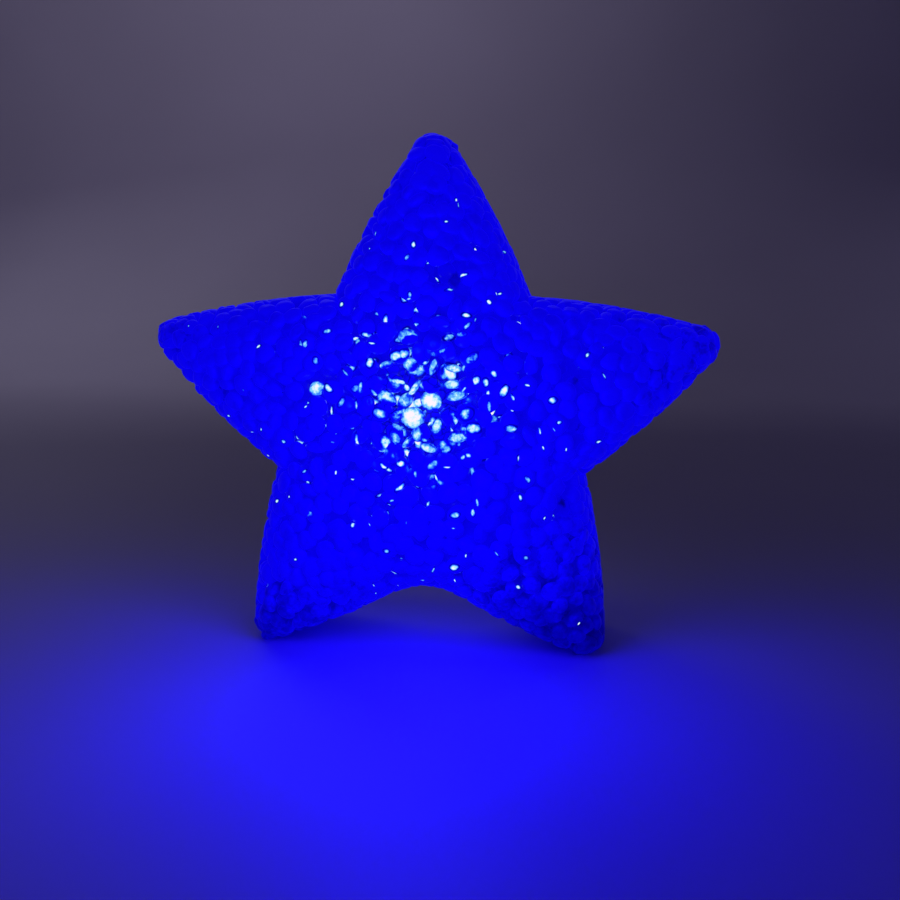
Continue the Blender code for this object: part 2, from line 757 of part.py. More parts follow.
door_panel = make_door(white_plastic)
door_screw_y = REAR_FACE_Y - DOOR_SINK + GAP
door_screw = make_screw("door_screw", 0, TAB_Z, door_screw_y, -1, SHANK_LENGTH - GAP, screw_steel)

unit = group("lamp_unit_origin", (0, REAR_FACE_Y, CENTRE_HEIGHT), None, *inside)
group("battery_door_origin", (0, REAR_FACE_Y, BAY_Z), unit, door_panel, door_screw)
group("switch_knob_origin", (0, SWITCH_TOP_Y, SWITCH_Z), unit, knob)
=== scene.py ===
"""Looks of the star night light: fused clear pellets lit blue by the LED behind them, and its lamp unit.

The star's two CAD shells are replaced by lens-shaped pellets. An outer and a middle layer lie against
the shells' outer surface and an inner layer lies against the wall of the hollow. A thin melted sheet
lies between them, and a smooth ring lies under the lamp unit's flange. Everything is placed from the
CAD nodes' meshes and boxes. Units are metres, +Z is up and the star's front faces -Y.
"""

import math

import bmesh
import bpy
import numpy as np
from mathutils import Matrix, Vector


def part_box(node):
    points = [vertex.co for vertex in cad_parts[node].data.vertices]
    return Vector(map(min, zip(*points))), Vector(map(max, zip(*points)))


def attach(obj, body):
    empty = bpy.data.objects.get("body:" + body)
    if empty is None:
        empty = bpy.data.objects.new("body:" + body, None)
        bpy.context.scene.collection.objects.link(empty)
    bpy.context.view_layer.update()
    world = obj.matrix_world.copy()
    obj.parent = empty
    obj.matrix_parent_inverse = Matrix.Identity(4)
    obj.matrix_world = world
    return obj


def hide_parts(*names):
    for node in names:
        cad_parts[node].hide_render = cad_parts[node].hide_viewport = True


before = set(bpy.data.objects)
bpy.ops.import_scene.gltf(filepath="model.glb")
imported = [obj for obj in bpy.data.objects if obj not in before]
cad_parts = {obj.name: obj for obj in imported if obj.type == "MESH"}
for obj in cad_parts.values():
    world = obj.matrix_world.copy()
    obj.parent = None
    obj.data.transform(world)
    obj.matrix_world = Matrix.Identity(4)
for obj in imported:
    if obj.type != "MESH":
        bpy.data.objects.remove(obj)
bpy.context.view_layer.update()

MM = 0.001
SEED = 7

# ---------------- places, all from the frame

SHELLS = {"front": "front_pellet_shell", "rear": "rear_pellet_shell"}
STAR_LOW = Vector(map(min, zip(*(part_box(n)[0] for n in SHELLS.values()))))
STAR_HIGH = Vector(map(max, zip(*(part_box(n)[1] for n in SHELLS.values()))))
LED_LOW, LED_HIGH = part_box("led")
LED_CENTRE = (LED_LOW + LED_HIGH) / 2
LED_TIP = Vector((LED_CENTRE.x, LED_LOW.y, LED_CENTRE.z))
HOUSING_LOW, HOUSING_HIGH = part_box("lamp_housing")
COLLAR_LOW, COLLAR_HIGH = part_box("mounting_collar")
FLANGE_R = (HOUSING_HIGH.x - HOUSING_LOW.x) / 2
COLLAR_R = (COLLAR_HIGH.x - COLLAR_LOW.x) / 2
SEAT_Y = COLLAR_HIGH.y
SEAT_R = FLANGE_R + 0.5 * MM
REAR_FACE_Y = HOUSING_HIGH.y
CENTRE_Z = LED_CENTRE.z
HALF_DEPTH = STAR_HIGH.y
FRONT_MIDDLE = Vector((0, STAR_LOW.y, CENTRE_Z))

# ---------------- the pellets' packing

PELLET_R = 2.25 * MM
PELLET_HALF_THICK = 1.3 * MM
# the deep attribute sets the painted shade in the creases between pellets
DEEP_SPAN = 2.6 * MM  # how far under a pellet's outermost point its "deep" attribute reaches 1
OUTER_SPACING = 3.0 * MM
MIDDLE_SPACING = 3.1 * MM
MIDDLE_DEPTH = 3.1 * MM
INNER_SPACING = 2.8 * MM
TRIES = 40  # random points tried for each square of a layer's spacing
OUTER_FLAT = 0.65  # share of the outer layer's pellets that lie nearly flat against the surface
MIDDLE_FLAT = 0.5
INNER_FLAT = 0.85
FLAT_TILT = 22  # degrees that a flat pellet leans at most
STEEP_TILT = 88  # and any other pellet
LUMPS = 0.08  # how far a pellet is from a true ellipsoid
PRESSED = 0.14  # share of a pellet's reach that the mould's wall has flattened
CORE_DEPTH = 1.5 * MM  # the melted sheet's depth under the wall of the hollow
CORE_THICK = 0.8 * MM
SEAT_GAP = 0.3 * MM
SEAT_ROUND = 0.6 * MM
MELTED_TONE = 0.9

FULLNESS = 3.6  # exponent of the body's cross-section, as in the CAD
OUTER_LEVEL = 0.7  # the outer surface has level 1 in that formula
HOLLOW_LEVEL = 0.45  # and the hollow's wall has less than this
TIP_SHARE = 0.87  # a rim vertex with less than this share of its neighbours' reach is the hollow's
FACES_Y = 0.95  # least Y part of a normal that faces front or back
SIDEWAYS = 0.3  # most Y part of the normals round the lamp unit's hole
NEAR_PLANE = 0.3 * MM  # from the middle plane
NEAR_SEAT = 0.2 * MM
HOLE_MARGIN = 1 * MM

# The bright patch on the front wall, where the LED shines through
HOT_SPOT = FRONT_MIDDLE + Vector((-1 * MM, 0, 4 * MM))
HOT_R = 11 * MM
WARM_R = 21 * MM
FAINT_R = 44 * MM

# A pellet's bright ovals by its distance from HOT_SPOT: the chance of each and their half length in mm
GLINT_STEPS = (0, HOT_R, WARM_R, FAINT_R, 1.5 * FAINT_R)
GLINT_CHANCES = ((0.9, 0.72, 0.34, 0.05, 0.0), (0.7, 0.45, 0.14, 0.015, 0.0))
GLINT_LENGTHS = (1.8, 1.45, 0.85, 0.42, 0.3)
GLINT_OFFSET = 0.9 * MM

# The largest bright pellets, listed one by one; the smaller ones are drawn at random round HOT_SPOT.
# Each has its place across and up from the star's middle, its length, width, lean (degrees) and heat.
# A heat under 0.8 is cyan rather than white, and the last number, a bite above 0, leaves a crescent.
BRIGHT_PELLETS = (
    (-1.6, 2.5, 4.9, 4.6, 0, 1.0, 0.0),
    (2.1, 6.0, 4.3, 3.8, -20, 1.0, 0.0),
    (-6.9, 6.1, 4.0, 3.0, -30, 0.7, 0.4),
    (-2.1, 13.1, 3.1, 2.9, 10, 0.85, 0.4),
    (-1.5, 8.2, 4.2, 1.2, 60, 0.75, 0.0),
    (6.2, 9.3, 3.3, 1.9, 5, 0.8, 0.0),
    (7.1, 7.0, 4.0, 2.0, 12, 0.6, 0.0),
    (6.6, 12.5, 3.3, 1.6, -8, 0.8, 0.0),
    (2.3, 12.7, 3.6, 1.2, 75, 0.65, 0.0),
    (-2.8, 18.6, 4.0, 3.0, 0, 0.6, 0.8),
    (9.3, 3.6, 2.4, 2.1, 40, 0.7, 0.3),
    (7.6, -1.4, 4.1, 2.0, 5, 0.6, 0.0),
    (3.3, 0.9, 3.1, 1.9, 75, 0.8, 0.0),
    (1.6, -3.7, 3.4, 1.7, -20, 0.75, 0.0),
    (-2.5, -2.6, 3.3, 1.8, 45, 0.6, 0.3),
    (-8.1, 3.2, 2.8, 1.7, -20, 0.65, 0.0),
    (-7.3, 12.9, 3.1, 1.5, 15, 0.75, 0.3),
    (-21.3, 7.9, 3.3, 2.8, 30, 0.85, 0.0),
    (7.1, -28.3, 1.6, 1.2, 20, 0.9, 0.0),
)

# Gaps between the front's pellets that go deep: across and up from the star's middle, and radius
GAPS = ((6.2, 30.0, 1.7), (30.5, 10.3, 0.9), (31.5, 1.1, 0.8), (28.5, -15.2, 0.8))
GAP_CLEAR = 1.6  # mm that a pellet's middle keeps from a gap
GAP_SHADE = 0.3  # tone of the pellets deep inside a gap

# ---------------- sizes of the finer pieces

CURVE_STEPS = 64
TINY = 0.0001 * MM  # radius of a turned profile's end, which closes to a point
MERGE_DISTANCE = 0.000001
SMOOTH_ANGLE = math.radians(35)

SCREW_HEAD = 0.9 * MM
SCREW_DOME = 0.45 * SCREW_HEAD
SHANK_R = 0.62 * MM
THREAD_R = 1.22 * SHANK_R
THREAD_PITCH = 0.7 * MM
RECESS_DEEP = 0.45 * MM
RECESS_WIDE = 0.34 * MM

CELL_CAP_SHARE = 0.72
CELL_STEP = 0.5 * MM
CELL_ROUND = 0.45 * MM

RIB_COUNT = 5
RIB_FIRST = 2.6 * MM
RIB_PITCH = 1.15 * MM
RIB_HALF_LONG = 4.5 * MM
RIB_HALF_WIDE = 0.28 * MM
RIB_TALL = 0.35 * MM
RIB_ROUND = 0.2 * MM

SUNK = 0.1 * MM  # how far a raised detail goes into the plastic under it
BEAD_INSET = 2.2 * MM
BEAD_HALF_WIDE = 0.45 * MM
BEAD_TALL = 0.3 * MM
DOT_R = 0.6 * MM
DOT_TALL = 0.3 * MM
DOT_OFFSET = 2.2 * MM
SKIN_COVER_GAP = 1.6 * MM
SKIN_COLLAR_GAP = 1.35 * MM
SKIN_START = 0.05 * MM
KNOB_ROUND = 0.18 * MM
KNOB_GROOVE = 0.7 * MM

# ---------------- the glow, the room and the camera

GLOW = 2.45  # the pellets' glow right beside the LED
GLOW_FADE = 51 * MM  # distance at which it is half of that
GLOW_CAP = 0.76
RIGHT_LEG_GLOW = 0.66
LED_GLOW = 1.5

GLOW_COLOUR = (0.006, 0.0, 1.0)
VIOLET_GREY = (0.78, 0.68, 1.0)
NIGHT_BLUE = (0.22, 0.14, 1.0, 1)
NIGHT_STRENGTH = 0.035

FLOOR_HALF = 4.0
WALL_Y = 1.1
WALL_BEND = 0.5
WALL_HIGH = 1.4

AZIMUTH = 6.6
ELEVATION = 8.0
DISTANCE = 0.235
LENS = 42.6
SENSOR = 36
SHIFT_RIGHT = 3.5 * MM
SHIFT_UP = -6.9 * MM
ROLL = 0.9


def new_object(name, data):
    """A new object with this data, linked to the scene."""
    made = bpy.data.objects.new(name, data)
    bpy.context.scene.collection.objects.link(made)
    return made


# ---------------- surfaces for the pellets


def from_axis(places):
    """Distance of each place from the star's and the lamp unit's common axis, which runs along Y."""
    return np.hypot(places[:, 0], places[:, 2] - CENTRE_Z)


def rim_reach():
    """Angles and distances from the star's centre to its outline, read from the front shell's rim."""
    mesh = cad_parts[SHELLS["front"]].data
    places = np.array([v.co for v in mesh.vertices])
    rim = places[places[:, 1] > places[:, 1].max() - 0.01 * MM]
    angles = np.arctan2(rim[:, 2] - CENTRE_Z, rim[:, 0])
    reach = from_axis(rim)
    order = np.argsort(angles)
    angles, reach = angles[order], reach[order]
    farther = np.maximum(reach, np.roll(reach, 1))
    outer = reach > TIP_SHARE * np.interp(angles, angles, farther, period=2 * np.pi)
    return angles[outer], reach[outer]


def body_level(places, rim):
    """1 on the star's outer surface and less inside it, by the superellipse that shaped it."""
    angles = np.arctan2(places[:, 2] - CENTRE_Z, places[:, 0])
    share = from_axis(places) / np.interp(angles, rim[0], rim[1], period=2 * np.pi)
    return share**FULLNESS + (np.abs(places[:, 1]) / HALF_DEPTH) ** FULLNESS


def shell_triangles(shell):
    """Corners and normals of all the shell's triangles."""
    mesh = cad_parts[SHELLS[shell]].data
    mesh.calc_loop_triangles()
    places = np.array([v.co for v in mesh.vertices])
    triangles = np.array([t.vertices for t in mesh.loop_triangles])
    return places[triangles], np.array([t.normal for t in mesh.loop_triangles])


def in_joint(middles, faces):
    """True for the flat faces at the middle plane, where the two shells meet."""
    return (np.abs(middles[:, 1]) < NEAR_PLANE) & (np.abs(faces[:, 1]) > FACES_Y)


def round_hole(middles):
    """True for places of the rear shell in or beside the lamp unit's hole."""
    return (middles[:, 1] > 0) & (from_axis(middles) < FLANGE_R + HOLE_MARGIN)


def outer_triangles(shell, rim):
    """The triangles that face outwards, with the seat of the lamp unit's flange."""
    corners, faces = shell_triangles(shell)
    middles = corners.mean(axis=1)
    outer = body_level(middles, rim) > OUTER_LEVEL
    seat = (faces[:, 1] > FACES_Y) & (np.abs(middles[:, 1] - SEAT_Y) < NEAR_SEAT)
    hole_wall = round_hole(middles) & (np.abs(faces[:, 1]) < SIDEWAYS)
    keep = (outer | seat) & ~hole_wall & ~in_joint(middles, faces)
    return corners[keep], faces[keep]


def hollow_triangles(shell, rim):
    """The triangles of the hollow's wall, whose normals point into the hollow."""
    corners, faces = shell_triangles(shell)
    middles = corners.mean(axis=1)
    inner = body_level(middles, rim) < HOLLOW_LEVEL
    keep = inner & ~in_joint(middles, faces) & ~round_hole(middles)
    return corners[keep], faces[keep]


def random_places(corners, normals, spacing, random):
    """Random places all over the triangles, many more than will fit, and the normals there."""
    sides = np.cross(corners[:, 1] - corners[:, 0], corners[:, 2] - corners[:, 0])
    area = np.linalg.norm(sides, axis=1)
    tries = int(area.sum() / 2 / (spacing * spacing) * TRIES)
    chosen = random.choice(len(area), tries, p=area / area.sum())
    u, v = random.random((2, tries, 1))
    flip = u + v > 1
    u, v = np.where(flip, 1 - u, u), np.where(flip, 1 - v, v)
    a, b, c = (corners[chosen, i] for i in range(3))
    return a + u * (b - a) + v * (c - a), normals[chosen]


def neighbours(key, cells):
    """The points kept so far in a grid cell and in the 26 cells round it."""
    return [
        j
        for x in (-1, 0, 1)
        for y in (-1, 0, 1)
        for z in (-1, 0, 1)
        for j in cells.get((key[0] + x, key[1] + y, key[2] + z), ())
    ]


def scatter(corners, normals, spacing, random, first=None):
    """Points on the triangles, none nearer to another than the spacing, as many as will fit.

    The first points are kept as they are and the others stay clear of them.
    """
    places, facing = random_places(corners, normals, spacing, random)
    fixed = 0
    if first:
        fixed = len(first[0])
        places = np.concatenate([first[0], places])
        facing = np.concatenate([first[1], facing])
    kept, cells = [], {}
    for i, place in enumerate(places):
        key = tuple((place // spacing).astype(int))
        near = neighbours(key, cells)
        if i < fixed or all(np.sum((places[j] - place) ** 2) >= spacing * spacing for j in near):
            cells.setdefault(key, []).append(i)
            kept.append(i)
    return places[kept], facing[kept]


def on_front(across, up, corners, normals):
    """Where a line along Y meets the front surface, and the normal there."""
    middles = corners.mean(axis=1)
    away = np.hypot(middles[:, 0] - across, middles[:, 2] - CENTRE_Z - up)
    away += 10 * np.maximum(normals[:, 1], 0)  # no triangle that faces the back is near
    nearest = np.argsort(away)[:12]
    a, b, c = (corners[nearest, i][:, [0, 2]] for i in range(3))
    p = np.array((across, CENTRE_Z + up))
    whole = np.cross(b - a, c - a)
    shares = np.stack([np.cross(b - p, c - p), np.cross(c - p, a - p), np.cross(a - p, b - p)], axis=1)
    shares /= whole[:, None]
    best = np.argmax(shares.min(axis=1))
    return (corners[nearest[best]] * shares[best][:, None]).sum(axis=0), normals[nearest[best]]


def clear_of_lamp_unit(places):
    """True for pellets that leave the lamp unit's hole and its seat free."""
    away = from_axis(places)
    in_hole = (places[:, 1] > -2 * MM) & (away < COLLAR_R + SEAT_GAP + PELLET_R)
    shallow = (places[:, 1] > SEAT_Y - PELLET_HALF_THICK) & (away < SEAT_R + PELLET_R)
    return ~(in_hole | shallow)


def turns(normals, tilt, random):
    """One 3x3 rotation per pellet, whose third axis is tilted from the surface normal."""
    count = len(normals)
    spin = random.random(count) * 2 * np.pi
    any_way = random.normal(size=(count, 3))
    across = np.cross(normals, any_way)
    across /= np.linalg.norm(across, axis=1)[:, None]
    axis = normals * np.cos(tilt)[:, None] + across * np.sin(tilt)[:, None]
    side = np.cross(axis, any_way)
    side /= np.linalg.norm(side, axis=1)[:, None]
    other = np.cross(axis, side)
    first = side * np.cos(spin)[:, None] + other * np.sin(spin)[:, None]
    second = np.cross(axis, first)
    return np.stack([first, second, axis], axis=2)


def unit_ball(subdivisions):
    """Vertices and triangles of an icosphere of radius 1."""
    shape = bmesh.new()
    bmesh.ops.create_icosphere(shape, subdivisions=subdivisions, radius=1)
    shape.verts.index_update()
    places = np.array([v.co for v in shape.verts])
    triangles = np.array([[v.index for v in f.verts] for f in shape.faces])
    shape.free()
    return places, triangles


def lens_sizes(count, random):
    """Half length, half width and half thickness of each pellet."""
    wide = PELLET_R * random.uniform(0.9, 1.08, count)
    narrow = wide * random.uniform(0.84, 1.0, count)
    thick = PELLET_HALF_THICK * random.uniform(0.85, 1.15, count)
    return np.stack([wide, narrow, thick], axis=1)


class Layer:
    """One layer of pellets against a surface: where each is, how it is turned and how it shines."""

    def __init__(self, points, facing, depth, flat_share, random):
        count = len(points)
        self.points, self.facing, self.depth = points, facing, depth
        self.sizes = lens_sizes(count, random)
        flat = random.random(count) < flat_share
        flat_tilt = random.uniform(0, FLAT_TILT, count)
        steep_tilt = random.uniform(FLAT_TILT, STEEP_TILT, count)
        self.turn = turns(facing, np.radians(np.where(flat, flat_tilt, steep_tilt)), random)
        self.tone = random.uniform(0.9, 1.15, count)
        self.shift = random.uniform(-1, 1, (count, 3))
        self.waves = random.normal(size=(count, 3)) * 2.4
        self.glints = [self.glint(random, chances) for chances in GLINT_CHANCES]

    def glint(self, random, chances):
        """A bright oval on some pellets: its middle, its two axes over their half lengths, and its heat."""
        count = len(self.points)
        distance = np.linalg.norm(self.points - np.array(HOT_SPOT), axis=1)
        ahead = np.clip(-self.facing[:, 1] * 1.3, 0, 1)
        chance = np.interp(distance, GLINT_STEPS, chances)
        lit = random.random(count) < chance * ahead
        longest = np.interp(distance, GLINT_STEPS, GLINT_LENGTHS) * MM
        length = longest * random.uniform(0.42, 1.15, count)
        width = length * random.uniform(0.22, 0.8, count)
        offset = random.normal(size=(count, 3)) * GLINT_OFFSET
        middle = self.points + offset - self.facing * (offset * self.facing).sum(axis=1)[:, None]
        spin = turns(self.facing, np.zeros(count), random)
        heat = np.where(lit, random.uniform(0.35, 0.95, count), 0)
        return [middle, spin[:, :, 0] / length[:, None], spin[:, :, 1] / width[:, None], heat]

    def set_bright(self, i, length, width, lean, heat, bite):
        """Makes pellet i a given bright oval seen from the front; a long narrow one stands on its edge."""
        facing = self.facing[i]
        along = np.array((math.cos(math.radians(lean)), 0, math.sin(math.radians(lean))))
        along -= facing * along.dot(facing)
        along /= np.linalg.norm(along)
        across = np.cross(facing, along)
        large, edge_on = length > 3 * MM, width < 0.6 * length
        if large and edge_on:
            self.sizes[i] = (length / 2, PELLET_R, width / 2)
            self.turn[i] = np.stack([along, facing, across], axis=1)
        elif large:
            self.sizes[i] = (length / 2, width / 2, PELLET_HALF_THICK)
            self.turn[i] = np.stack([along, across, facing], axis=1)
        axes = (along / (0.52 * length), across / (0.52 * width))
        aside = self.points[i] + (along * 0.3 - across * 0.35) * width
        self.set_glint(0, i, self.points[i], *axes, heat)
        self.set_glint(1, i, aside, *axes, -2.2 * bite)

    def set_glint(self, number, i, *values):
        for column, value in zip(self.glints[number], values):
            column[i] = value

    def centres(self):
        """The pellets' middles, as deep as lets each one touch the surface."""
        along = np.einsum("nij,ni->nj", self.turn, self.facing)
        reach = np.sqrt(((along * self.sizes) ** 2).sum(axis=1))
        return self.points - self.facing * (reach * (1 - PRESSED) + self.depth)[:, None]

    def lens(self, i, ball, centre):
        """Vertices of pellet i, flattened where they would leave the surface."""
        lumps = 1 + LUMPS * np.sin(ball @ self.waves[i] + 6 * self.tone[i])
        places = (ball * lumps[:, None] * self.sizes[i]) @ self.turn[i].T + centre
        over = (places - self.points[i]) @ self.facing[i] + self.depth
        return places - self.facing[i] * np.maximum(over, 0)[:, None]


ATTRIBUTES = {"deep": "FLOAT", "tone": "FLOAT", "shift": "FLOAT_VECTOR"}
for glint_letter in "ab":
    for vector_part in ("middle", "long", "wide"):
        ATTRIBUTES[f"glint_{glint_letter}_{vector_part}"] = "FLOAT_VECTOR"
    ATTRIBUTES[f"glint_{glint_letter}_heat"] = "FLOAT"


class Region:
    """Pellets of one arm, gathered as arrays and made into one mesh object."""

    def __init__(self):
        self.places, self.triangles, self.count = [], [], 0
        self.values = {key: [] for key in ATTRIBUTES}

    def add(self, places, triangles, values):
        """Adds a pellet; each attribute has one value for all of it, or one for each of its places."""
        count = len(places)
        self.places.append(places)
        self.triangles.append(triangles + self.count)
        self.count += count
        for key, value in values.items():
            value = np.asarray(value)
            if value.shape[:1] != (count,):
                value = np.broadcast_to(value, (count, *value.shape))
            self.values[key].append(value)

    def build(self, name, material):
        mesh = bpy.data.meshes.new(name)
        places, triangles = np.concatenate(self.places), np.concatenate(self.triangles)
        mesh.from_pydata(places.tolist(), [], triangles.tolist())
        for key, kind in ATTRIBUTES.items():
            values = np.concatenate(self.values[key]).astype(np.float32)
            layer = mesh.attributes.new(key, kind, "POINT")
            layer.data.foreach_set("vector" if kind == "FLOAT_VECTOR" else "value", values.ravel())
        mesh.shade_smooth()
        mesh.materials.append(material)
        return new_object(name, mesh)


def arm_of(places):
    """Which arm each place belongs to: 0 is the top one and they count counterclockwise from the front."""
    angles = np.degrees(np.arctan2(places[:, 2] - CENTRE_Z, places[:, 0]))
    return (np.round((angles - 90) / 72).astype(int)) % 5


def gap_at(places):
    """True for places in front of one of the deep gaps."""
    inside = np.zeros(len(places), bool)
    for across, up, radius in GAPS:
        away = np.hypot(places[:, 0] - across * MM, places[:, 2] - CENTRE_Z - up * MM)
        inside |= (away < (radius + GAP_CLEAR) * MM) & (places[:, 1] < 0)
    return inside


def gap_shade(places):
    """1 in the open and less deep inside a gap."""
    shade = np.ones(len(places))
    for across, up, radius in GAPS:
        away = np.abs(places[:, 0] - across * MM) + np.abs(places[:, 2] - CENTRE_Z - up * MM)
        inside = np.interp(away, [radius * 1.1 * MM, radius * 1.6 * MM], [GAP_SHADE, 1])
        shade = np.where(places[:, 1] < 0, np.minimum(shade, inside), shade)
    return shade


def add_layer(regions, layer, unit):
    """Adds a layer's pellets to their arms' regions, clear of the lamp unit."""
    centres = layer.centres()
    keep = clear_of_lamp_unit(centres)
    if layer.depth == 0:
        keep &= ~gap_at(centres)
    arms = arm_of(centres)
    low, high = np.array(STAR_LOW), np.array(STAR_HIGH)
    ball, triangles = unit
    for i in np.flatnonzero(keep):
        lens = np.clip(layer.lens(i, ball, centres[i]), low, high)
        deep = -((lens - layer.points[i]) @ layer.facing[i]) / DEEP_SPAN
        values = {"deep": deep, "tone": layer.tone[i], "shift": layer.shift[i]}
        # painted shade: the middle layer's pellets are darker inside the deep gaps
        if layer.depth > 0:
            values["tone"] = layer.tone[i] * gap_shade(lens)
        for letter, glint in zip("ab", layer.glints):
            for part, item in zip(("middle", "long", "wide", "heat"), glint):
                values[f"glint_{letter}_{part}"] = item[i]
        regions[arms[i]].add(lens, triangles, values)


def bright_layer(corners, normals, random):
    """The front's outer layer, which starts from the brightest pellets."""
    found = [on_front(x * MM, z * MM, corners, normals) for x, z, *_ in BRIGHT_PELLETS]
    first = (np.array([p for p, _ in found]), np.array([n for _, n in found]))
    points, facing = scatter(corners, normals, OUTER_SPACING, random, first)
    layer = Layer(points, facing, 0, OUTER_FLAT, random)
    for i, (_, _, length, width, lean, heat, bite) in enumerate(BRIGHT_PELLETS):
        layer.set_bright(i, length * MM, width * MM, lean, heat, bite)
    return layer


def melted_piece(name, shape, deep, material):
    """A piece of pellets melted into one, from a bmesh, with the pellets' attributes but no glints."""
    bmesh.ops.recalc_face_normals(shape, faces=shape.faces)
    bmesh.ops.triangulate(shape, faces=shape.faces)
    shape.verts.index_update()
    places = np.array([v.co for v in shape.verts])
    triangles = np.array([[v.index for v in f.verts] for f in shape.faces])
    shape.free()
    values = {key: np.zeros(3) if kind == "FLOAT_VECTOR" else 0.0 for key, kind in ATTRIBUTES.items()}
    # deep sets how much painted crease shade the piece has
    values |= {"deep": deep, "tone": MELTED_TONE}
    region = Region()
    region.add(places, triangles, values)
    return region.build(name, material)


def core_piece(shell, corners, material):
    """A thin sheet inside the wall, where the pellets have melted together and leave no gap for light."""
    shape = bmesh.new()
    for triangle in corners:
        shape.faces.new([shape.verts.new(p) for p in triangle])
    bmesh.ops.remove_doubles(shape, verts=shape.verts, dist=0.01 * MM)
    shape.normal_update()
    for v in shape.verts:
        v.co -= v.normal * CORE_DEPTH
    bmesh.ops.solidify(shape, geom=list(shape.faces), thickness=CORE_THICK)
    return melted_piece(f"{shell}_pellets_core", shape, 0.6, material)


def seat_piece(material):
    """The smooth ring that the mould leaves round the lamp unit's hole, under its flange."""
    inner = COLLAR_R + SEAT_GAP
    profile = [(inner, COLLAR_LOW.y), (SEAT_R, COLLAR_LOW.y)]
    profile += arc((SEAT_R - SEAT_ROUND, SEAT_Y - SEAT_ROUND), SEAT_ROUND, SEAT_ROUND, 0, 90, 5)
    profile.append((inner, SEAT_Y))
    mesh = turned_mesh("seat_ring", profile, (LED_CENTRE.x, 0, CENTRE_Z), (0, 1, 0), closed=True)
    shape = bmesh.new()
    shape.from_mesh(mesh)
    return melted_piece("rear_pellets_seat", shape, 0.3, material)


def finish_star_piece(piece, shell):
    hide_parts(SHELLS[shell])
    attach(piece, "star")


def make_pellets(material):
    """Both halves of the star: three layers of pellets, the melted sheet and the seat ring."""
    rim = rim_reach()
    random = np.random.default_rng(SEED)
    for shell in SHELLS:
        outer = outer_triangles(shell, rim)
        hollow = hollow_triangles(shell, rim)
        regions = [Region() for _ in range(5)]
        if shell == "front":
            outer_layer = bright_layer(*outer, random)
        else:
            outer_layer = Layer(*scatter(*outer, OUTER_SPACING, random), 0, OUTER_FLAT, random)
        middle_points = scatter(*outer, MIDDLE_SPACING, random)
        middle_layer = Layer(*middle_points, MIDDLE_DEPTH, MIDDLE_FLAT, random)
        inner_layer = Layer(*scatter(*hollow, INNER_SPACING, random), 0, INNER_FLAT, random)
        for glint in inner_layer.glints:
            glint[3][:] = 0
        add_layer(regions, outer_layer, unit_ball(3))
        add_layer(regions, middle_layer, unit_ball(2))
        add_layer(regions, inner_layer, unit_ball(2))
        for number, region in enumerate(regions):
            made = region.build(f"{shell}_pellets_arm_{number + 1}", material)
            finish_star_piece(made, shell)
        finish_star_piece(core_piece(shell, hollow[0], material), shell)
    finish_star_piece(seat_piece(material), "rear")


# ---------------- finer pieces of the lamp unit


def add_piece(name, mesh, materials, body, slot, *replaced):
    """Adds a finer piece, and says what it rides on and which CAD nodes it replaces; the material slot it
    is given is not used.
    """
    for material in materials:
        mesh.materials.append(material)
    made = new_object(name, mesh)
    if replaced:
        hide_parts(*replaced)
    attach(made, body)


def arc(middle, wide, tall, start, end, steps):
    """Points of a profile on part of an ellipse, from one angle in degrees to another."""
    points = []
    for step in range(steps + 1):
        angle = math.radians(start + (end - start) * step / steps)
        radius = max(middle[0] + wide * math.cos(angle), TINY)
        points.append((radius, middle[1] + tall * math.sin(angle)))
    return points


def turned_mesh(name, profile, origin, axis, bands=None, closed=False):
    """A profile of (radius, distance along the axis) turned about the axis; bands number the materials."""
    axis = Vector(axis)
    side = axis.orthogonal().normalized()
    other = axis.cross(side)
    places, faces, kinds = [], [], []
    for radius, along in profile:
        for step in range(CURVE_STEPS):
            angle = 2 * math.pi * step / CURVE_STEPS
            around = side * math.cos(angle) + other * math.sin(angle)
            places.append(Vector(origin) + axis * along + around * radius)
    rows = len(profile)
    for row in range(rows if closed else rows - 1):
        after_row = (row + 1) % rows
        for step in range(CURVE_STEPS):
            after = (step + 1) % CURVE_STEPS
            here, there = row * CURVE_STEPS, after_row * CURVE_STEPS
            faces.append((here + step, here + after, there + after, there + step))
            kinds.append(bands[row] if bands else 0)
    mesh = bpy.data.meshes.new(name)
    mesh.from_pydata(places, [], faces)
    shape = bmesh.new()
    shape.from_mesh(mesh)
    for face, kind in zip(shape.faces, kinds):
        face.material_index = kind
    bmesh.ops.remove_doubles(shape, verts=shape.verts, dist=MERGE_DISTANCE)
    bmesh.ops.recalc_face_normals(shape, faces=shape.faces)
    shape.to_mesh(mesh)
    shape.free()
    mesh.shade_smooth()
    mesh.set_sharp_from_angle(angle=SMOOTH_ANGLE)
    return mesh


def box_shape(size):
    """A bmesh of a box round the origin."""
    shape = bmesh.new()
    bmesh.ops.create_cube(shape, size=1)
    bmesh.ops.scale(shape, vec=size, verts=shape.verts)
    return shape


def mesh_of(shape, name):
    """The bmesh made into a mesh."""
    mesh = bpy.data.meshes.new(name)
    shape.to_mesh(mesh)
    shape.free()
    return mesh


def cutter_box(size, place):
    """A plain box to cut with, not kept in the scene."""
    made = new_object("cutter", mesh_of(box_shape(size), "cutter"))
    made.location = place
    return made


def cut_mesh(mesh, cutters):
    """The mesh with each cutter taken out of it."""
    target = new_object("cut_target", mesh)
    for cutter in cutters:
        change = target.modifiers.new("cut", "BOOLEAN")
        change.object = cutter
        change.solver = "EXACT"
    bpy.context.view_layer.update()
    graph = bpy.context.evaluated_depsgraph_get()
    result = bpy.data.meshes.new_from_object(target.evaluated_get(graph))
    for made in (target, *cutters):
        bpy.data.objects.remove(made, do_unlink=True)
    return result


